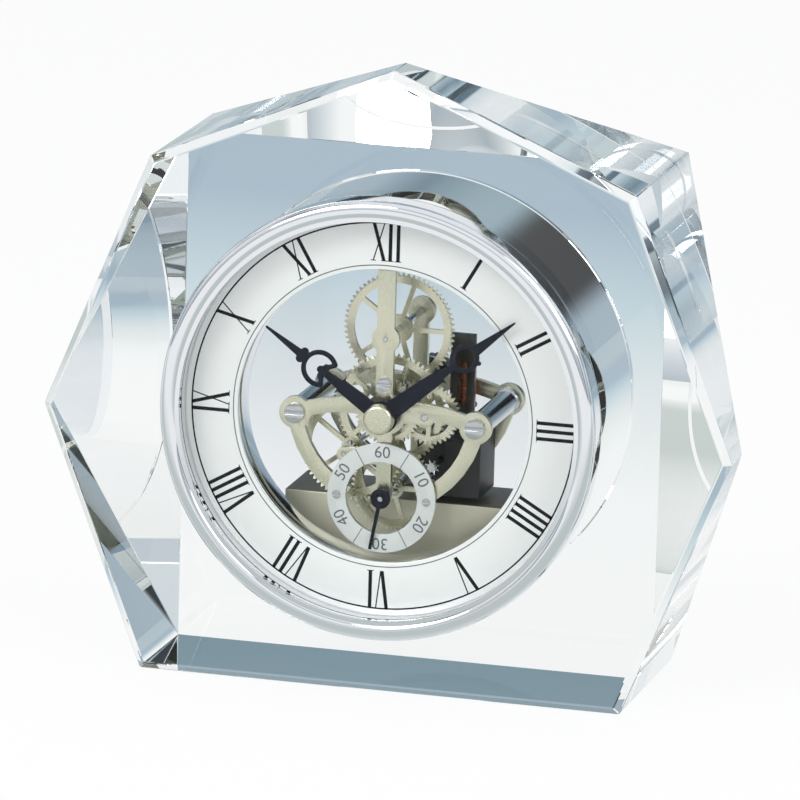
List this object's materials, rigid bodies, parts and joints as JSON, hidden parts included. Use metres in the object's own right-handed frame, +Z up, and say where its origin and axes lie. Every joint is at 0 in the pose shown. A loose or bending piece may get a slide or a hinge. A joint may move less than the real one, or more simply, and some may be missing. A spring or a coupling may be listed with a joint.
{
  "type": "crystal desk clock",
  "caption": "Free-standing faceted crystal block clock with a round skeleton insert, ring dial, ornate hands and an open gear train.",
  "frame": {"origin": "middle of the bounding box's footprint, on the block's flat bottom", "axes": "+X to the right of someone facing the dial, +Y towards the back, +Z up; the dial faces -Y"},
  "size_m": [0.168, 0.0618, 0.15],
  "materials": {
    "crystal": "clear, polished",
    "clear_plastic": "clear",
    "chrome": "polished",
    "silvered": "satin silver white",
    "champagne": "pale plated, satin",
    "steel": "bright",
    "black_hand": "gloss black",
    "dark_plastic": "moulded black",
    "copper": "enamelled copper wire",
    "cell_skin": "plain printed can"
  },
  "bodies": {
    "case": {"crystal_block": "crystal", "bezel": "chrome", "lens": "clear_plastic", "lens_spacer": "chrome", "case_drum": "chrome", "dial_ring": "silvered", "dial_cup": "chrome", "dust_cover": "clear_plastic", "front_plate": "champagne", "back_plate": "champagne", "top_bridge": "champagne", "pillar_left": "steel", "pillar_right": "steel", "front_screw_left": "steel", "front_screw_right": "steel", "back_screw_left": "steel", "back_screw_right": "steel", "bridge_screw": "steel", "seconds_dial": "silvered", "seconds_dial_screw_left": "steel", "seconds_dial_screw_right": "steel", "minute_stud": "steel", "motor_module": "dark_plastic", "stator": "steel", "motor_coil": "copper", "battery_holder": "champagne", "battery_cell": "cell_skin", "contact_positive": "steel", "contact_spring": "steel"},
    "minutes": {"centre_arbor": "steel", "minute_hand": "black_hand", "hand_nut": "champagne", "setting_knob": "dark_plastic"},
    "hours": {"hour_wheel": "champagne", "hour_hand": "black_hand"},
    "motion_work": {"minute_wheel": "champagne"},
    "seconds": {"seconds_arbor": "steel", "seconds_wheel": "champagne", "seconds_hand": "black_hand"},
    "third": {"third_arbor": "steel", "third_wheel": "champagne"},
    "centre": {"centre_wheel": "champagne", "drive_pinion": "steel"},
    "great": {"great_arbor": "steel", "great_wheel": "champagne"},
    "motor": {"motor_pinion": "steel"}
  },
  "joints": [
    {"name": "minute_joint", "type": "hinge", "parent": "case", "child": "minutes", "pos_m": [0, 0, 0.0675], "axis": [0, 1, 0], "continuous": true},
    {"name": "hour_joint", "type": "hinge", "parent": "case", "child": "hours", "pos_m": [0, 0, 0.0675], "axis": [0, 1, 0], "continuous": true},
    {"name": "motion_work_joint", "type": "hinge", "parent": "case", "child": "motion_work", "pos_m": [0.0096, 0, 0.0675], "axis": [0, 1, 0], "continuous": true},
    {"name": "seconds_joint", "type": "hinge", "parent": "case", "child": "seconds", "pos_m": [0, 0, 0.0475], "axis": [0, 1, 0], "continuous": true},
    {"name": "third_joint", "type": "hinge", "parent": "case", "child": "third", "pos_m": [-0.00979, 0, 0.05694], "axis": [0, 1, 0], "continuous": true},
    {"name": "centre_joint", "type": "hinge", "parent": "case", "child": "centre", "pos_m": [0, 0, 0.0675], "axis": [0, 1, 0], "continuous": true},
    {"name": "great_joint", "type": "hinge", "parent": "case", "child": "great", "pos_m": [0, 0, 0.0859], "axis": [0, 1, 0], "continuous": true},
    {"name": "motor_joint", "type": "hinge", "parent": "case", "child": "motor", "pos_m": [0.0095, 0, 0.05344], "axis": [0, 1, 0], "continuous": true}
  ],
  "couplings": [
    {"joint": "hour_joint", "follows": "minute_joint", "ratio": 0.083333},
    {"joint": "motion_work_joint", "follows": "minute_joint", "ratio": -0.33333},
    {"joint": "third_joint", "follows": "seconds_joint", "ratio": -0.13333},
    {"joint": "centre_joint", "follows": "seconds_joint", "ratio": 0.016667},
    {"joint": "great_joint", "follows": "seconds_joint", "ratio": -0.0072917},
    {"joint": "motor_joint", "follows": "seconds_joint", "ratio": -6}
  ]
}
